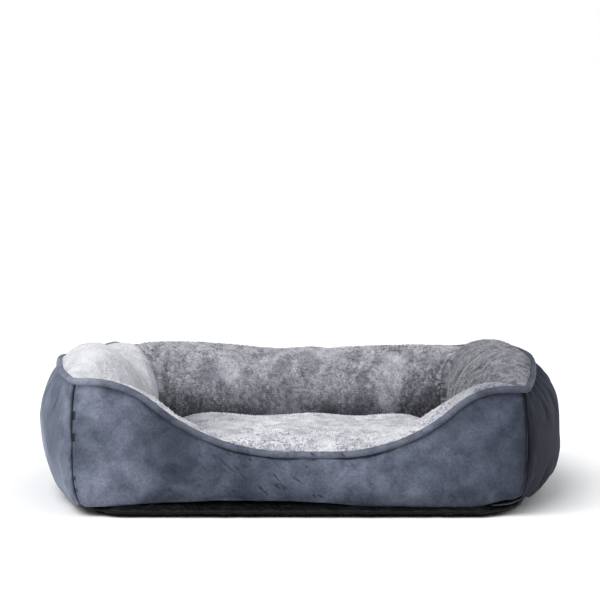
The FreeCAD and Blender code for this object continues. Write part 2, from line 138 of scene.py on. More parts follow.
WALLS = ["front", "right", "back", "left"]
FRONT, RIGHT, BACK, LEFT = range(4)


def corners(x, front_y, back_y):
    return [(-x, front_y), (x, front_y), (x, back_y), (-x, back_y)]


OUTER = corners(CORNER_X, FRONT_Y, BACK_CORNER_Y)
INNER = corners(INNER_X, INNER_FRONT_Y, INNER_BACK_Y)
SIDE_BOW, BACK_BOW = HALF_WIDTH - CORNER_X - 5 * MM, BACK_Y - BACK_CORNER_Y - 5 * MM
BOW = [0, SIDE_BOW, BACK_BOW, SIDE_BOW]  # how far each wall bulges out between its corners


def plan(u):
    """The outer and inner ends of the cross-section, u walls round from the front left corner."""
    wall, t = int(u) % 4, u % 1
    outer_a, outer_b = Vector(OUTER[wall]), Vector(OUTER[(wall + 1) % 4])
    inner_a, inner_b = Vector(INNER[wall]), Vector(INNER[(wall + 1) % 4])
    along = (outer_b - outer_a).normalized()
    outward = Vector((along.y, -along.x))
    outer = mix(outer_a, outer_b, t) + outward * BOW[wall] * arch(t)
    inner = mix(inner_a, inner_b, t) + outward * SLACK[wall]
    return outer, inner


def dip(x):
    """The dip's rise from 0 in the middle to 1 at the shoulders: two arcs that meet at one slope."""
    flat = DIP_FLAT[x > 0]
    run = DIP_END - flat
    rise = SIDE_RIM - DIP_RIM
    s = min(max((abs(x) - flat) / run, 0), 1)
    radii = (run * run + rise * rise) / (2 * rise)
    if s < DIP_TURN:
        radius = radii * DIP_TURN
        return (radius - math.sqrt(radius**2 - (s * run) ** 2)) / rise
    radius = radii * (1 - DIP_TURN)
    return 1 - (radius - math.sqrt(radius**2 - ((1 - s) * run) ** 2)) / rise


def step(x, start, end):
    """A smooth step from 0 at start to 1 at end."""
    share = min(max((x - start) / (end - start), 0), 1)
    return share * share * (3 - 2 * share)


def front_rise(x):
    """How far the front roll stands above the corded seam: most in the dip, and below it at the left."""
    return -10 * MM + 28 * MM * step(x, -175 * MM, -50 * MM) - 8 * MM * step(x, 80 * MM, 230 * MM)


def front_rim(x):
    """The corded seam's height along the front."""
    shoulder = mix(LEFT_SHOULDER_RIM, RIGHT_SHOULDER_RIM, (x + CORNER_X) / (2 * CORNER_X))
    return mix(DIP_RIM, shoulder, dip(x))


def heights(u, x=None):
    """The height of the corded seam u walls round, and of the crown behind it at x."""
    wall, t = int(u) % 4, u % 1
    outer, _ = plan(u)
    wave = 3 * MM * ripple((outer.x, outer.y, 0), 80 * MM, 1) * arch(t)
    x = outer.x if x is None else x
    front_crown = front_rim(x) + front_rise(x)
    if wall == FRONT:
        return front_rim(outer.x), front_crown
    if wall == BACK:
        rim = mix(SIDE_RIM - BACK_CORNER_DROP, BACK_RIM, power(arch(t), 0.5))
        return rim, mix(BACK_CORNER_CROWN, BACK_CROWN, power(arch(t), 0.4)) + wave
    from_front = t if wall == RIGHT else 1 - t
    shoulder = RIGHT_SHOULDER_RIM if wall == RIGHT else LEFT_SHOULDER_RIM
    rim = mix(shoulder, SIDE_RIM, step(from_front, 0, 0.5)) - BACK_CORNER_DROP * step(from_front, 0.7, 1)
    crown = mix(front_crown, SIDE_CROWN, step(from_front, 0, 0.3 if wall == RIGHT else 0.2))
    if wall == LEFT:  # its roll stands highest near the front and slumps towards the back
        crown += 13 * MM * step(from_front, 0.02, 0.15) - 25 * MM * step(from_front, 0.4, 0.75)
        rim -= 9 * MM * step(from_front, 0.4, 0.7) * (1 - step(from_front, 0.75, 1))
    crown = mix(crown, BACK_CORNER_CROWN, step(from_front, 0.75, 1)) + wave
    return rim, crown


def hem(u):
    """The height of the velvet's lower edge, which rides up and down over the base."""
    outer, _ = plan(u)
    wave = 5 * MM * math.cos((outer.x + 75 * MM) / (90 * MM))
    wave = wave + 2 * MM * ripple((outer.x, outer.y, 0), 60 * MM, 2)
    at_front = 1 - step(outer.y, FRONT_Y + 5 * MM, FRONT_Y + 60 * MM)
    return BASE_TOP + 2 * MM + wave + 8 * MM * step(outer.x, 235 * MM, 285 * MM) * at_front


def section_middle(u):
    outer, inner = plan(u)
    middle = (outer + inner) / 2
    return Vector((middle.x, middle.y, 0.45 * heights(u)[1]))


def section(u, row):
    """A point of the ring: row 0 is the velvet's hem, VELVET_ROWS the corded seam and LAST_ROW the foot."""
    wall, t = int(u) % 4, u % 1
    outer, inner = plan(u)
    rim, crown = heights(u)
    thick = (inner - outer).length
    belly = mix(CORNER_BELLY, OUTER_BELLY[wall], power(arch(t), 0.5)) * crown
    seam_inset = mix(CORNER_INSET, RIM_INSET[wall], power(arch(t), 0.7))
    tuck = mix(CORNER_TUCK, FOOT_TUCK[wall], power(arch(t), 0.4))
    round_power = mix(CORNER_POWER, ROLL_POWER[wall], arch(t))
    if row <= VELVET_ROWS:
        low = hem(u)
        z = mix(low, rim, row / VELVET_ROWS)
        if z < belly:
            late = mix(CORNER_FOOT_POWER, FOOT_POWER[wall], arch(t))
            inset = tuck * power((belly - z) / (belly - low), late)
        else:
            share = (z - belly) / (rim - belly)
            roundness = RIM_ROUND if wall in (RIGHT, LEFT) else 0
            inset = seam_inset * mix(share**RIM_POWER, 1 - math.sqrt(max(1 - share * share, 0)), roundness)
        if row < VELVET_ROWS:
            inset += 3 * MM * math.exp(1 - VELVET_ROWS + row)
    elif row <= VELVET_ROWS + CROWN_ROWS:
        angle = (row - VELVET_ROWS) / CROWN_ROWS * math.pi / 2
        swell = step(crown - rim, -5 * MM, 8 * MM)  # 0 where the roll drops away behind the seam
        inset = seam_inset + (thick / 2 - seam_inset) * mix(math.sin(angle), 1 - math.cos(angle), swell)
        _, crown = heights(u, mix(outer, inner, inset / thick).x)
        z = rim + (crown - rim) * mix(1 - math.cos(angle), math.sin(angle), swell)
    elif row <= VELVET_ROWS + CROWN_ROWS + ROLL_ROWS:
        angle = (row - VELVET_ROWS - CROWN_ROWS) / ROLL_ROWS * math.pi / 2
        inset = thick / 2 * (1 + power(math.sin(angle), 2 / round_power))
        _, crown = heights(u, mix(outer, inner, inset / thick).x)
        z = BELLY * crown + (1 - BELLY) * crown * power(math.cos(angle), 2 / round_power)
    else:
        share = (row - VELVET_ROWS - CROWN_ROWS - ROLL_ROWS) / FOOT_ROWS
        inset = thick - 10 * MM * power(share, 3)
        _, crown = heights(u, inner.x)
        z = mix(BELLY * crown, BASE_TOP + 2 * MM, share)
    place = mix(outer, inner, inset / thick)
    place = Vector((place.x, place.y, z))
    return place + drawn_in(u, row, place)


def drawn_in(u, row, place):
    """How far a corner seam pulls its cloth in: a narrow groove in the velvet and a valley in the plush."""
    velvet_depth, plush_depth = SEAM_DEPTH[round(u) % 4]
    along = abs(u - round(u)) * WALL_LENGTH
    velvet = velvet_depth * math.exp(-((along / SEAM_WIDTH[0]) ** 2))
    plush = plush_depth * math.exp(-((along / SEAM_WIDTH[1]) ** 2))
    depth = mix(velvet, plush, step(row, VELVET_ROWS, VELVET_ROWS + CROWN_ROWS))
    if row > LAST_ROW - FOOT_ROWS:
        depth *= (LAST_ROW - row) / FOOT_ROWS
    fade = min(abs(row - VELVET_ROWS) / 3, 1)
    return (section_middle(u) - place).normalized() * depth * fade


def lumpy(place, normal):
    """Uneven filling, as a push along the surface's normal."""
    return normal * (4.5 * MM * ripple(place, 110 * MM, 3) + 1.8 * MM * ripple(place, 42 * MM, 4))


def new_object(name, bm):
    mesh = bpy.data.meshes.new(name)
    bm.to_mesh(mesh)
    bm.free()
    mesh.shade_smooth()
    piece = bpy.data.objects.new(name, mesh)
    bpy.context.scene.collection.objects.link(piece)
    return piece


def ring_mesh():
    """The whole ring of walls as one skin. Each point keeps its place round the ring, and its row."""
    bm = bmesh.new()
    around = bm.verts.layers.float.new("around")
    rows = bm.verts.layers.float.new("row")
    bmesh.ops.create_grid(bm, x_segments=4 * COLUMNS, y_segments=LAST_ROW, size=0.5)
    for vert in bm.verts:
        vert[around] = round((vert.co.x + 0.5) * 4 * COLUMNS) / COLUMNS
        vert[rows] = round((vert.co.y + 0.5) * LAST_ROW)
        vert.co = section(vert[around], int(vert[rows]))
    bmesh.ops.remove_doubles(bm, verts=bm.verts, dist=MERGE)
    bm.normal_update()
    return bm


def pinned(vert, around, rows):
    """How firmly sewing holds a point: hem, corded seam, inner foot and corner seams."""
    row = round(vert[rows])
    if row in (0, VELVET_ROWS, LAST_ROW):
        return 1.0
    if abs(vert[around] - round(vert[around])) < 0.5 / COLUMNS:
        return 1.0
    if row > LAST_ROW - FOOT_ROWS / 2:
        return 0.6
    return 0.0


def stuffed(piece, weights, pressure, excess, cap, frames=20):
    """Inflates the piece as cloth held where weights says, and caps how far any point moves."""
    start = [vert.co.copy() for vert in piece.data.vertices]
    group = piece.vertex_groups.new(name="sewn")
    for index, weight in weights.items():
        group.add([index], weight, "REPLACE")
    cloth = piece.modifiers.new("filling", "CLOTH")
    settings = cloth.settings
    settings.quality = 5
    settings.mass = 0.15
    settings.tension_stiffness = settings.compression_stiffness = 12
    settings.shear_stiffness = 4
    settings.bending_stiffness = 0.4
    settings.air_damping = 4
    settings.use_pressure = True
    settings.uniform_pressure_force = pressure
    settings.shrink_min = -excess
    settings.effector_weights.gravity = 0
    if weights:
        settings.vertex_group_mass = "sewn"
    scene = bpy.context.scene
    cloth.point_cache.frame_end = frames
    for number in range(1, frames + 1):
        scene.frame_set(number)
    graph = bpy.context.evaluated_depsgraph_get()
    settled = piece.evaluated_get(graph).to_mesh()
    for vert, before, after in zip(piece.data.vertices, start, settled.vertices):
        move = after.co - before
        vert.co = before + move * min(1, cap / max(move.length, 1e-9))
    piece.modifiers.remove(cloth)
    scene.frame_set(1)


def stuffed_ring():
    bm = ring_mesh()
    around, rows = bm.verts.layers.float["around"], bm.verts.layers.float["row"]
    for vert in bm.verts:
        vert.co += lumpy(vert.co, vert.normal) * (1 - pinned(vert, around, rows))
    bm.verts.index_update()
    weights = {vert.index: pinned(vert, around, rows) for vert in bm.verts}
    piece = new_object("ring", bm)
    stuffed(piece, weights, pressure=3, excess=0.006, cap=6 * MM)
    bm = bmesh.new()
    bm.from_mesh(piece.data)
    bpy.data.objects.remove(piece)
    return bm


def part_of(ring, wall, velvet):
    """A copy of one wall's velvet or plush faces."""
    bm = ring.copy()
    around, rows = bm.verts.layers.float["around"], bm.verts.layers.float["row"]
    number = WALLS.index(wall)

    def inside(face):
        row = sum(vert[rows] for vert in face.verts) / len(face.verts)
        turns = [vert[around] for vert in face.verts]
        if max(turns) - min(turns) > 2:
            turns = [turn if turn > 2 else turn + 4 for turn in turns]
        return int(sum(turns) / len(turns)) % 4 == number and (row < VELVET_ROWS) == velvet

    bmesh.ops.delete(bm, geom=[face for face in bm.faces if not inside(face)], context="FACES")
    if number == LEFT:  # the ring closes here, so its last points count as a whole turn and not as none
        for vert in bm.verts:
            if vert[around] < 1:
                vert[around] = 4.0
    return bm


def thickened(bm, thickness):
    """Gives a cloth its thickness, inwards, and returns its outer faces. A wall's cloth is thin at seams."""
    outer = list(bm.faces)
    around, rows = bm.verts.layers.float.get("around"), bm.verts.layers.float.get("row")
    made = bmesh.ops.extrude_face_region(bm, geom=outer, use_keep_orig=True)
    for item in made["geom"]:
        if isinstance(item, bmesh.types.BMVert):
            sewn = 0
            if rows:
                beside = abs(item[around] - round(item[around])) * COLUMNS
                sewn = 1 - min(step(abs(item[rows] - VELVET_ROWS), 0, 5), step(beside, 0, 3))
            item.co -= item.normal * mix(thickness, SEWN, sewn)
    bmesh.ops.recalc_face_normals(bm, faces=bm.faces)
    bm.normal_update()
    return outer


def puckered(bm):
    """Small folds in the velvet, where the corner seams and the corded seam gather it."""
    around, rows = bm.verts.layers.float["around"], bm.verts.layers.float["row"]
    for vert in bm.verts:
        turn = vert[around]
        beside = abs(turn - round(turn)) * WALL_LENGTH
        below = (VELVET_ROWS - vert[rows]) * 5 * MM
        fold = ripple((beside / 4, vert.co.y / 9, vert.co.z + beside * 0.8), 9 * MM, 51) * 1.6 * MM
        gather = ripple((turn * WALL_LENGTH, 0, vert.co.z / 5), 8 * MM, 52) * 1.1 * MM
        held = math.exp(-below / (12 * MM)) * min(below / (5 * MM), 1)
        creased = fold * math.exp(-beside / (26 * MM)) * min(beside / (5 * MM), 1)
        vert.co += vert.normal * (creased + gather * held)


# ------------------------------------------------------------------ materials


def colour(code):
    """An sRGB hex value as linear red, green, blue and alpha."""
    parts = [int(code[i : i + 2], 16) / 255 for i in (1, 3, 5)]
    return [c / 12.92 if c <= 0.04045 else ((c + 0.055) / 1.055) ** 2.4 for c in parts] + [1]


def add(tree, kind, settings=None, **links):
    """Adds a node. Settings are its properties or inputs, and links are the sockets that feed its inputs."""
    node = tree.nodes.new(kind)
    for name, setting in (settings or {}).items():
        if isinstance(name, str) and hasattr(node, name) and name not in node.inputs:
            setattr(node, name, setting)
        else:
            node.inputs[name].default_value = setting
    for name, source in links.items():
        key = name.replace("_", " ")
        tree.links.new(source, node.inputs[int(key[1:]) if key[0] == "i" and key[1:].isdigit() else key])
    return node


def new_material(name, **shader):
    material = bpy.data.materials.new(name)
    material.use_nodes = True
    tree = material.node_tree
    principled = tree.nodes["Principled BSDF"]
    for socket, setting in shader.items():
        principled.inputs[socket.replace("_", " ")].default_value = setting
    return material, tree, principled


def ramp(tree, source, stops):
    node = add(tree, "ShaderNodeValToRGB", Fac=source)
    elements = node.color_ramp.elements
    while len(elements) < len(stops):
        elements.new(1)
    for element, (place, code) in zip(elements, stops):
        element.position = place
        element.color = colour(code)
    return node.outputs["Color"]


def speckle(tree, coordinates, size, detail=3, distortion=0.0, roughness=0.55):
    """Noise whose bumps are about size across."""
    settings = {"Scale": 1 / size, "Detail": detail, "Distortion": distortion, "Roughness": roughness}
    return add(tree, "ShaderNodeTexNoise", settings, Vector=coordinates).outputs["Fac"]


def blended(tree, kind, share, a, b):
    """Mixes two colours. Share is a number or a socket."""
    node = tree.nodes.new("ShaderNodeMix")
    node.data_type = "RGBA"
    node.blend_type = kind
    if isinstance(share, (int, float)):
        node.inputs[0].default_value = share
    else:
        tree.links.new(share, node.inputs[0])
    for index, side in ((6, a), (7, b)):
        if isinstance(side, str):
            node.inputs[index].default_value = colour(side)
        else:
            tree.links.new(side, node.inputs[index])
    return node.outputs[2]


def bumped(tree, principled, *layers):
    """Stacks bump layers, each a height socket, a depth in metres and a strength."""
    normal = None
    for height, depth, strength in layers:
        node = add(tree, "ShaderNodeBump", {"Strength": strength, "Distance": depth}, Height=height)
        if normal is not None:
            tree.links.new(normal, node.inputs["Normal"])
        normal = node.outputs["Normal"]
    tree.links.new(normal, principled.inputs["Normal"])


def crushed_velvet(name, dark, middle, light, sheen=0.22, shaded_seams=True):
    """Short-pile polyester velvet, brushed by handling. Pile that leans away looks dark and pile that leans
    towards the eye looks pale, so it has broad soft patches, a few thin finger marks and a soft bright edge.
    Where asked for, painted shade darkens its upright corner seams to thin dark lines, for the shade in their
    grooves."""
    material, tree, principled = new_material(
        name, Roughness=0.8, Specular_IOR_Level=0.15, Sheen_Weight=sheen, Sheen_Roughness=0.35
    )
    principled.inputs["Sheen Tint"].default_value = colour("#b6bdcf")
    place = add(tree, "ShaderNodeTexCoord").outputs["Object"]
    settings = {"vector_type": "TEXTURE", "Rotation": (0, -0.8, 0), "Scale": (1, 1, 6)}
    slanted = add(tree, "ShaderNodeMapping", settings, Vector=place).outputs["Vector"]
    moved = add(tree, "ShaderNodeMapping", {"Location": (0.31, 0.0, 0.17)}, Vector=place).outputs["Vector"]
    patches = speckle(tree, moved, 120 * MM, detail=3, distortion=0.4)
    smears = speckle(tree, place, 34 * MM, detail=5, distortion=0.5, roughness=0.6)
    fingers = speckle(tree, slanted, 5 * MM, detail=1, distortion=0.3)
    pile = speckle(tree, place, 1.3 * MM, detail=2)
    nap = ramp(tree, patches, [(0.34, dark), (0.5, middle), (0.68, light)])
    soft = ramp(tree, smears, [(0.34, "#a8aaaf"), (0.52, "#e2e3e5"), (0.66, "#ffffff")])
    lines = ramp(tree, fingers, [(0.6, "#ffffff"), (0.76, "#7d7f86")])
    # the finger marks lie below the dip, where hands take hold of the front wall
    settings = {"Location": (0.2, 1.2, -0.5), "Scale": (5, 4, 9)}
    centred = add(tree, "ShaderNodeMapping", settings, Vector=place).outputs["Vector"]
    settings = {"gradient_type": "SPHERICAL"}
    handled = add(tree, "ShaderNodeTexGradient", settings, Vector=centred).outputs["Fac"]
    spots = speckle(tree, place, 50 * MM, detail=1)
    handled = add(tree, "ShaderNodeMath", {"operation": "MULTIPLY"}, i0=handled, i1=spots).outputs["Value"]
    where = ramp(tree, handled, [(0.1, "#000000"), (0.3, "#ffffff")])
    # painted light and shade along the bed, for the light from the left: pale at the left corner, dark beside
    # it and dark at the right
    settings = {"From Min": -HALF_WIDTH, "From Max": HALF_WIDTH}
    end_to_end = add(tree, "ShaderNodeSeparateXYZ", {}, Vector=place).outputs["X"]
    share = add(tree, "ShaderNodeMapRange", settings, Value=end_to_end).outputs["Result"]
    left_half_light_and_shade = [(0.1, "#ffffff"), (0.19, "#e8e8ea"), (0.27, "#b2b3b8"), (0.45, "#cbccd0")]
    lean = ramp(tree, share, left_half_light_and_shade + [(0.78, "#dcdde0"), (0.88, "#9a9ca4")])
    turn = add(tree, "ShaderNodeAttribute", {"attribute_name": "around"}).outputs["Fac"]
    beside = add(tree, "ShaderNodeMath", {"operation": "PINGPONG", 1: 0.5}, i0=turn).outputs["Value"]
    # painted shade along the upright corner seams
    seam = ramp(tree, beside, [(0.003, "#3c3f48"), (0.011, "#ffffff")])
    grain = ramp(tree, pile, [(0.3, "#c4c5c8"), (0.7, "#ffffff")])
    flecks = speckle(tree, place, 3.4 * MM, detail=4, roughness=0.7)
    mottle = ramp(tree, flecks, [(0.34, "#b4b5b9"), (0.62, "#ffffff")])
    tone = blended(tree, "MULTIPLY", 0.8, nap, soft)
    # painted light and shade along the bed
    tone = blended(tree, "MULTIPLY", 1, tone, lean)
    if shaded_seams:
        tone = blended(tree, "MULTIPLY", 1, tone, seam)
    tone = blended(tree, "MULTIPLY", where, tone, lines)
    tone = blended(tree, "MULTIPLY", 0.6, tone, grain)
    tone = blended(tree, "MULTIPLY", 0.55, tone, mottle)
    tree.links.new(tone, principled.inputs["Base Color"])
    creases = speckle(tree, place, 9 * MM, detail=3, distortion=0.6)
    bumped(tree, principled, (creases, 0.5 * MM, 0.4), (pile, 0.3 * MM, 0.6))
    return material


def plush_pile(name, root, middle, tip, combed, comb=0, patch=26 * MM, axis=None, ends=None, shade_tones=()):
    """Deep polyester plush with loose clumped tufts: painted shade at the roots and pale at the tips, in
    combed patches that run down the slope, or across it at the angle comb. Between two ends along an axis,
    painted shade turns it from one tone to another, as at a wall's foot by the cushion."""
    material, tree, principled = new_material(
        name, Roughness=0.85, Specular_IOR_Level=0.2, Sheen_Weight=0.3, Sheen_Roughness=0.5
    )
    principled.inputs["Sheen Tint"].default_value = colour("#f0f1f5")
    place = add(tree, "ShaderNodeTexCoord").outputs["Object"]
    height = add(tree, "ShaderNodeAttribute", {"attribute_name": "tip"}).outputs["Fac"]
    settings = {"vector_type": "TEXTURE", "Rotation": (comb, 0, 0), "Scale": (1, 1, 2.9)}
    downhill = add(tree, "ShaderNodeMapping", settings, Vector=place).outputs["Vector"]
    strokes = speckle(tree, downhill, patch, detail=3, distortion=0.5)
    fibre = speckle(tree, place, 1.6 * MM, detail=3)
    # painted shade at the roots of the tufts, pale at their tips
    root_shade = ramp(tree, height, [(0.0, root), (0.45, middle), (1.0, tip)])
    brushed = ramp(tree, strokes, [(0.35, combed), (0.6, "#ffffff")])
    strands = ramp(tree, fibre, [(0.3, "#dcdcde"), (0.65, "#ffffff")])
    tone = blended(tree, "MULTIPLY", 0.8, root_shade, brushed)
    tone = blended(tree, "MULTIPLY", 0.7, tone, strands)
    # painted shade that turns the tone from one end to the other along the axis
    if axis:
        along = add(tree, "ShaderNodeSeparateXYZ", {}, Vector=place).outputs[axis]
        settings = {"From Min": ends[0], "From Max": ends[1]}
        share = add(tree, "ShaderNodeMapRange", settings, Value=along).outputs["Result"]
        tone = blended(tree, "MULTIPLY", 1, tone, ramp(tree, share, list(zip((0, 1), shade_tones))))
    tree.links.new(tone, principled.inputs["Base Color"])
    bumped(tree, principled, (fibre, 0.8 * MM, 0.7))
    return material


def coated_nonslip(name):
    """Black polyester cloth with a rubbery coating: near black, with small glints on its creases."""
    material, tree, principled = new_material(name, Roughness=0.45, Specular_IOR_Level=0.14)
    place = add(tree, "ShaderNodeTexCoord").outputs["Object"]
    grit = speckle(tree, place, 2.2 * MM, detail=4)
    folds = speckle(tree, place, 9 * MM, detail=3, distortion=1.2)
    black = ramp(tree, grit, [(0.3, "#040405"), (0.62, "#09090a"), (0.8, "#17171a")])
    tree.links.new(black, principled.inputs["Base Color"])
    bumped(tree, principled, (folds, 2.5 * MM, 0.8), (grit, 0.5 * MM, 0.7))
    return material


def woven_cloth(name, warp, weft, thread=1.0 * MM):
    """Plain polyester weave: fine crossing threads, matt and even."""
    material, tree, principled = new_material(name, Roughness=0.8, Specular_IOR_Level=0.3, Sheen_Weight=0.15)
    place = add(tree, "ShaderNodeTexCoord").outputs["Object"]
    size = {"Scale": 1 / thread / 3, "Distortion": 0.3, "Detail": 1.0}
    across = add(tree, "ShaderNodeTexWave", {**size, "bands_direction": "X"}, Vector=place).outputs["Fac"]
    along = add(tree, "ShaderNodeTexWave", {**size, "bands_direction": "Y"}, Vector=place).outputs["Fac"]
    over = add(tree, "ShaderNodeMath", {"operation": "MAXIMUM"}, i0=across, i1=along).outputs["Value"]
    tree.links.new(ramp(tree, over, [(0.2, weft), (0.9, warp)]), principled.inputs["Base Color"])
    bumped(tree, principled, (over, 0.3 * MM, 0.6))
    return material


def loose_fibre(name):
    """Carded polyester filling: white, matt and lumpy, with curled strands."""
    material, tree, principled = new_material(name, Roughness=0.95, Specular_IOR_Level=0.1, Sheen_Weight=0.4)
    place = add(tree, "ShaderNodeTexCoord").outputs["Object"]
    clumps = speckle(tree, place, 18 * MM, detail=5, distortion=1.5)
    strands = speckle(tree, place, 2 * MM, detail=4, distortion=3)
    white = ramp(tree, clumps, [(0.3, "#dcdcda"), (0.65, "#f7f7f5")])
    tree.links.new(white, principled.inputs["Base Color"])
    bumped(tree, principled, (clumps, 5 * MM, 0.6), (strands, 1 * MM, 0.7))
    return material


CRUSHED = crushed_velvet("crushed_velvet", "#5a606e", "#7b8292", "#9fa5b6")
# the right wall's velvet is a darker copy with painted shade, the left wall's a paler copy with painted light
VELVET_CLOTH = {
    "front": CRUSHED,
    "right": crushed_velvet("crushed_velvet_brushed_down_painted_shade", "#3d424e", "#555b69", "#6c7281", sheen=0.06),
    "back": CRUSHED,
    "left": crushed_velvet("crushed_velvet_brushed_up_painted_light", "#687080", "#8b93a4", "#aab1c3", sheen=0.3),
}
# the piping's velvet is a paler copy: painted light for the light on the cord's rounded top
PIPING_CLOTH = crushed_velvet("bias_cut_velvet_painted_light", "#7b8191", "#9197a6", "#a7adbb", shaded_seams=False)
# painted shade: at the front roll's right end, at the back wall's foot and at the cushion's left end
SHADED_END = {"axis": "X", "ends": (0.16, 0.25), "shade_tones": ("#ffffff", "#babbc2")}
SHADED_FOOT = {"axis": "Z", "ends": (0.085, 0.13), "shade_tones": ("#a9a9ae", "#ffffff")}
SHADED_CUSHION_END = {"axis": "X", "ends": (-0.17, -0.08), "shade_tones": ("#a9a9ae", "#ffffff")}
ACROSS = {"comb": 0.8, "patch": 11 * MM}
# one plush in paler and darker copies: painted light on the left lining, painted shade on the right and back
# linings
PLUSH_CLOTH = {
    "front": plush_pile("plush_brushed_up", "#c4c4cb", "#f0f0f3", "#ffffff", "#dcdce0", **SHADED_END),
    "right": plush_pile("plush_brushed_across_painted_shade", "#7c7c83", "#a6a7ad", "#c6c7cc", "#77777e", **ACROSS),
    "back": plush_pile("plush_brushed_down_painted_shade", "#a0a0a8", "#c9cad0", "#e3e4e9", "#a6a6ad", **SHADED_FOOT),
    "left": plush_pile("plush_smoothed_painted_light", "#cfd0d4", "#ebecee", "#f4f4f6", "#e6e6e8"),
}
CUSHION_CLOTH = plush_pile("plush_lain_on", "#c6c6cb", "#f2f2f4", "#ffffff", "#bcbcc1", **SHADED_CUSHION_END)
BASE_CLOTH = coated_nonslip("coated_nonslip")
THIN_CLOTH = woven_cloth("plain_polyester", "#5d6068", "#42444b")
FIBRE = loose_fibre("carded_fibre")
COTTON = loose_fibre("spun_cotton")


def finished(piece, body, material, slot, *nodes, fill=None):
    """Gives a piece its material and body, and hides the nodes that it stands for. Its slot is not used."""
    piece.data.materials.clear()
    piece.data.materials.append(material)
    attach(piece, body)
    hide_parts(*nodes)
    return piece


# ------------------------------------------------------------------ cloth pieces


def velvet_panel(ring, wall):
    bm = part_of(ring, wall, velvet=True)
    bmesh.ops.subdivide_edges(bm, edges=bm.edges, cuts=1, use_grid_fill=True, smooth=1.0)
    bm.normal_update()
    puckered(bm)
    bm.normal_update()
    thickened(bm, VELVET)
    piece = new_object(f"{wall}_velvet_panel", bm)
    return finished(piece, "bed", VELVET_CLOTH[wall], "outer_velvet", f"{wall}_outer_panel", fill=0.7)


def comb_direction(place, normal):
    """The way the pile lies: downhill on slopes, swirling a little from patch to patch."""
    swirl = Vector([ripple(place, 55 * MM, seed) for seed in (11, 12, 13)])
    lay = Vector((0.25, -0.2, -0.6)) + swirl * 1.6
    return (lay - normal * lay.dot(normal)).normalized()


def tufted(bm, faces, length):
    """Draws every face out to a tuft. Tufts lean the way that the pile is combed and gather into clumps."""
    tip = bm.verts.layers.float.new("tip")
    made = bmesh.ops.poke(bm, faces=faces, offset=0, center_mode="MEAN")
    for vert in made["verts"]:
        root = vert.co.copy()
        normal = made_normal(vert)
        _, points = noise.voronoi(root / (9 * MM))
        gather = (points[0] * 9 * MM - root) * min(0.25, 50 * length)
        fine = noise.cell_vector(root / (1.3 * MM)) - Vector((0.5, 0.5, 0.5))
        reach = length * (0.75 + 0.5 * noise.cell(root / (1.7 * MM)))
        lean = comb_direction(root, normal) * 0.75 + fine * 1.2
        lean -= normal * lean.dot(normal)
        gather -= normal * gather.dot(normal)
        vert.co = root + normal * reach * 0.7 + lean * reach * 0.8 + gather
        vert[tip] = 0.7 + 0.3 * noise.cell(root / (2.3 * MM))


def made_normal(vert):
    """The direction in which a tuft stands up from its face."""
    total = Vector((0, 0, 0))
    for face in vert.link_faces:
        total += face.normal
    return total.normalized()


def plush_lining(ring, wall):
    bm = part_of(ring, wall, velvet=False)
    bmesh.ops.subdivide_edges(bm, edges=bm.edges, cuts=1, use_grid_fill=True, smooth=1.0)
    bm.normal_update()
    outer = thickened(bm, PLUSH)
    bm.normal_update()
    tufted(bm, outer, PILE[wall])
    piece = new_object(f"{wall}_plush_lining", bm)
    return finished(piece, "bed", PLUSH_CLOTH[wall], "plush_lining", f"{wall}_lining", fill=0.7)


def wall_filling(ring, wall):
    """The fibre inside a wall: its skin drawn in, with both ends and the bottom closed."""
    bm = part_of(ring, wall, velvet=True)
    rest = part_of(ring, wall, velvet=False)
    spare = bpy.data.meshes.new("spare")
    rest.to_mesh(spare)
    rest.free()
    bm.from_mesh(spare)
    bpy.data.meshes.remove(spare)
    bmesh.ops.remove_doubles(bm, verts=bm.verts, dist=MERGE)
    around = bm.verts.layers.float["around"]
    for vert in bm.verts:
        vert.co += (section_middle(vert[around]) - vert.co).normalized() * 16 * MM  # inside the cloths
    bmesh.ops.holes_fill(bm, edges=[edge for edge in bm.edges if edge.is_boundary], sides=0)
    bmesh.ops.triangulate(bm, faces=[face for face in bm.faces if len(face.verts) > 4])
    bmesh.ops.recalc_face_normals(bm, faces=bm.faces)
    piece = new_object(f"{wall}_wall_filling", bm)
    return finished(piece, "bed", FIBRE, "fibre_fill", f"{wall}_bolster_fill", fill=0.6)


def seam_line():
    """The points of the corded seam, in order round the ring. The cord stands out and up from the cloth."""
    line = []
    for column in range(8 * COLUMNS):
        u = column / (2 * COLUMNS)
        outer, inner = plan(u)
        out = (outer - inner).normalized()
        line.append(section(u, VELVET_ROWS) + Vector((out.x, out.y, 0.6)) * 2.5 * MM)
    for _ in range(5):
        line = [(line[i - 1] + 2 * place + line[(i + 1) % len(line)]) / 4 for i, place in enumerate(line)]
    return line


def tube(name, line, radius, gather):
    """A closed tube along the line. Gather is how deep its cloth's cross folds are."""
    curve = bpy.data.curves.new(name, "CURVE")
    curve.dimensions = "3D"
    curve.bevel_depth = radius
    curve.bevel_resolution = 4
    spline = curve.splines.new("POLY")
    spline.points.add(len(line) - 1)
    for point, place in zip(spline.points, line):
        point.co = (*place, 1)
    spline.use_cyclic_u = True
    holder = bpy.data.objects.new(name, curve)
    bm = bmesh.new()
    bm.from_mesh(bpy.data.meshes.new_from_object(holder))
    bpy.data.objects.remove(holder)
    bm.normal_update()
    for vert in bm.verts:
        vert.co += vert.normal * gather * ripple(vert.co, 5 * MM, 21)
    return new_object(name, bm)


def corded_rim():
    line = seam_line()
    cover = tube("velvet_piping", line, CORD_RADIUS, 0.5 * MM)
    finished(cover, "bed", PIPING_CLOTH, "piping_velvet", "piping_cover")
    cord = tube("filler_cord", line, CORD_RADIUS - 2 * MM, 0.2 * MM)
    finished(cord, "bed", COTTON, "cord_core", "piping_cord")


# ------------------------------------------------------------------ base and cushion


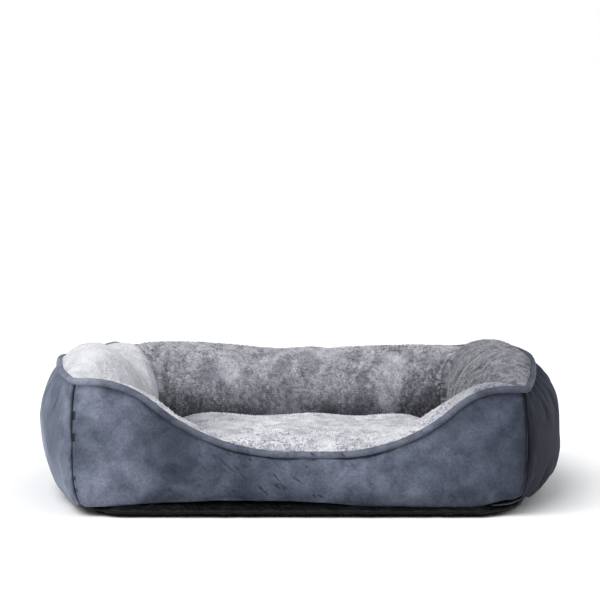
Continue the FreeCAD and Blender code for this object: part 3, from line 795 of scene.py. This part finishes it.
def pad(low, high, corner, cell, edge_power, bulge=None):
    """A closed pad between two corners, rounded in plan and at its edges. Bulge widens it at each side."""
    bm = bmesh.new()
    size = high - low
    bmesh.ops.create_cube(bm, size=1)
    cuts = int(max(size.x, size.y) / cell)
    level = [edge for edge in bm.edges if abs(edge.verts[0].co.z - edge.verts[1].co.z) < 0.5]
    bmesh.ops.subdivide_edges(bm, edges=level, cuts=cuts, use_grid_fill=True)
    upright = [edge for edge in bm.edges if abs(edge.verts[0].co.z - edge.verts[1].co.z) > 0.5]
    bmesh.ops.subdivide_edges(bm, edges=upright, cuts=max(int(size.z / cell), 5), use_grid_fill=True)
    middle = (low + high) / 2
    for vert in bm.verts:
        x, y, z = 2 * vert.co.x, 2 * vert.co.y, 2 * vert.co.z
        vert.co = rounded_place(x, y, z, size / 2, corner, edge_power) + middle
    if bulge:
        for vert in bm.verts:
            vert.co = bulge(vert.co)
    return bm


def rounded_place(x, y, z, half, corner, edge_power):
    """Maps a cube's surface point to a pad with round corners in plan and rolled edges."""
    reach = max(abs(x), abs(y), 1e-6)
    flat = Vector((x * half.x, y * half.y, 0))
    inner = Vector((half.x - corner, half.y - corner))
    out = Vector((max(abs(flat.x) - inner.x, 0), max(abs(flat.y) - inner.y, 0)))
    if out.x > 0 and out.y > 0:
        out *= max(out.x, out.y) / out.length
        flat.x = math.copysign(inner.x + out.x, x)
        flat.y = math.copysign(inner.y + out.y, y)
    edge = power(reach, edge_power)
    lift = math.sqrt(max(1 - edge * edge, 0))
    if abs(z) >= 1 - 1e-6:
        height = math.copysign(mix(0.25, 1, lift), z)
        draw = 1
    else:
        height = 0.25 * z
        draw = 1 + 0.02 * (1 - z * z)
    return Vector((flat.x * draw, flat.y * draw, height * half.z))


def footprint(place):
    """Bows a pad's straight sides out to the walls' feet, draws its lower edge in and turns its rim up."""
    middle_y, half_y = (FRONT_Y + BASE_BACK_Y) / 2, (BASE_BACK_Y - FRONT_Y) / 2
    y_share = min(max((place.y - middle_y) / half_y, -1), 1)
    x_share = min(max(place.x / BASE_X, -1), 1)
    narrow = mix(1 - 16 * MM / BASE_X, (CORNER_X - 22 * MM) / BASE_X, y_share**2)
    low = 1 - 0.045 * power(1 - place.z / (BASE_TOP + 6 * MM), 1.5)
    swell = 8 * MM * (1 - step(place.z, 5 * MM, 13 * MM)) * power(-y_share, 4)
    y = place.y - 22 * MM * x_share**2 * max(y_share, 0) - swell
    lip = 11 * MM * step(max(abs(x_share), abs(y_share)), 0.86, 0.93) * step(place.z, 4 * MM, 11 * MM)
    return Vector((place.x * narrow * low, y, place.z + lip))


def base():
    low = Vector((-BASE_X, FRONT_Y + 11 * MM, 0))
    high = Vector((BASE_X, BASE_BACK_Y, BASE_TOP - 3 * MM))
    bm = pad(low, high, 60 * MM, 5 * MM, 40, footprint)
    bm.normal_update()
    for vert in bm.verts:
        vert.co += vert.normal * 1.8 * MM * ripple(vert.co, 15 * MM, 31)
        rise = 2.5 * MM * max(ripple((vert.co.x, vert.co.y, 0), 70 * MM, 32), 0)
        vert.co.z = max(vert.co.z, rise if vert.co.z < BASE_TOP / 2 else 0)
    piece = new_object("nonslip_base", bm)
    finished(piece, "bed", BASE_CLOTH, "base_fabric", "base_panel", fill=0.5)
    margin = Vector((9 * MM, 9 * MM, 4 * MM))
    inside = pad(low + margin, high - margin, 50 * MM, 12 * MM, 18, footprint)
    finished(new_object("base_wadding", inside), "bed", FIBRE, "wadding", "base_pad", fill=0.5)


def valley(x, y):
    """The soft hollow that runs across the cushion, deepest near its left and right ends."""
    ends = 7 * MM * math.exp(-(((x + 145 * MM) / (30 * MM)) ** 2)) + 4 * MM * step(x, 60 * MM, 180 * MM)
    return (3 * MM + ends) * math.exp(-(((y - 25 * MM) / (32 * MM)) ** 2))


def cushion():
    low, high = CUSHION_LOW.copy(), CUSHION_HIGH.copy()
    bm = pad(low, high - Vector((0, 0, 4 * MM)), 50 * MM, 5.8 * MM, 3.6)
    bm.normal_update()
    middle = (low + high) / 2
    half_x, half_y = (high.x - low.x) / 2, (high.y - low.y) / 2
    for vert in bm.verts:
        x, y = vert.co.x - middle.x, vert.co.y - middle.y
        drop = 9 * MM * step(y, 0, half_y) + valley(vert.co.x, vert.co.y)
        vert.co.z += (6 * MM * ripple(vert.co, 80 * MM, 41) - drop) * max(vert.normal.z, 0)
        vert.co.x -= 6 * MM * (x / half_x) * max(1 - (y / half_y) ** 2, 0)  # the sides pull in
        vert.co.y -= 6 * MM * (y / half_y) * max(1 - (x / half_x) ** 2, 0)
    whole = new_object("cushion_whole", bm)
    stuffed(whole, {}, pressure=2, excess=0.02, cap=5 * MM)
    seam = mix(low.z, high.z, 0.45)
    for name, upper in (("cushion_plush_top", True), ("cushion_underside", False)):
        bm = bmesh.new()
        bm.from_mesh(whole.data)
        everything = list(bm.verts) + list(bm.edges) + list(bm.faces)
        bmesh.ops.bisect_plane(
            bm,
            geom=everything,
            plane_co=(0, 0, seam),
            plane_no=(0, 0, 1),
            clear_outer=not upper,
            clear_inner=upper,
        )
        if upper:
            bmesh.ops.subdivide_edges(bm, edges=bm.edges, cuts=1, use_grid_fill=True, smooth=1.0)
            bm.normal_update()
            outer = thickened(bm, PLUSH)
            bm.normal_update()
            tufted(bm, outer, CUSHION_PILE)
            piece = new_object(name, bm)
            finished(piece, "cushion", CUSHION_CLOTH, "cushion_plush", "cushion_top_panel", fill=0.7)
        else:
            bm.normal_update()
            thickened(bm, 1.5 * MM)
            piece = new_object(name, bm)
            finished(piece, "cushion", THIN_CLOTH, "cushion_base_fabric", "cushion_bottom_panel", fill=0.7)
    bm = bmesh.new()
    bm.from_mesh(whole.data)
    bm.normal_update()
    for vert in bm.verts:
        vert.co -= vert.normal * (PLUSH + 2 * MM)
    finished(new_object("cushion_filling", bm), "cushion", FIBRE, "cushion_filling", "cushion_fill", fill=0.6)
    bpy.data.objects.remove(whole)


# ------------------------------------------------------------------ studio


def studio():
    """A white floor under a white sky. A large soft light comes from the front left, and a weak one from
    the front right."""
    scene = bpy.context.scene
    scene.view_settings.view_transform = "Standard"
    bm = bmesh.new()
    bmesh.ops.create_grid(bm, x_segments=1, y_segments=1, size=40)
    floor = new_object("floor", bm)
    material, tree, principled = new_material("matt_white_floor", Roughness=0.95, Specular_IOR_Level=0.0)
    principled.inputs["Base Color"].default_value = colour("#f8f8f8")
    floor.data.materials.append(material)
    floor.location.z = -0.5 * MM
    world = scene.world or bpy.data.worlds.new("studio")
    scene.world = world
    world.use_nodes = True
    tree = world.node_tree
    tree.nodes.clear()
    seen = add(tree, "ShaderNodeBackground", {"Color": colour("#ffffff"), "Strength": 1.0})
    fill = add(tree, "ShaderNodeBackground", {"Color": colour("#f4f6fb"), "Strength": SKY})
    shades = {"i1": fill.outputs["Background"], "i2": seen.outputs["Background"]}
    direct = add(tree, "ShaderNodeLightPath").outputs["Is Camera Ray"]
    sky = add(tree, "ShaderNodeMixShader", {}, i0=direct, **shades)
    add(tree, "ShaderNodeOutputWorld", {}, Surface=sky.outputs["Shader"])
    for name, (strength, spread, source) in LIGHTS.items():
        light = bpy.data.lights.new(name, "SUN")
        light.energy = strength
        light.angle = math.radians(spread)
        lamp = bpy.data.objects.new(name, light)
        lamp.rotation_euler = Vector(source).to_track_quat("Z", "Y").to_euler()
        scene.collection.objects.link(lamp)


def camera():
    """A long lens a little above the bed, that looks slightly down into it from the front."""
    lens = bpy.data.cameras.new("camera")
    lens.sensor_width = 36
    lens.lens = 109.1
    eye = bpy.data.objects.new("camera", lens)
    eye.location = (0, FRONT_Y - CAMERA_DISTANCE, CAMERA_HEIGHT)
    eye.rotation_euler = (math.radians(90 - CAMERA_DIP), 0, 0)
    bpy.context.scene.collection.objects.link(eye)
    bpy.context.scene.camera = eye


camera()
studio()
skin = stuffed_ring()
for side in WALLS:
    velvet_panel(skin, side)
    plush_lining(skin, side)
    wall_filling(skin, side)
corded_rim()
skin.free()
base()
cushion()
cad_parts["floor_panel"].data.materials.clear()
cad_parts["floor_panel"].data.materials.append(THIN_CLOTH)
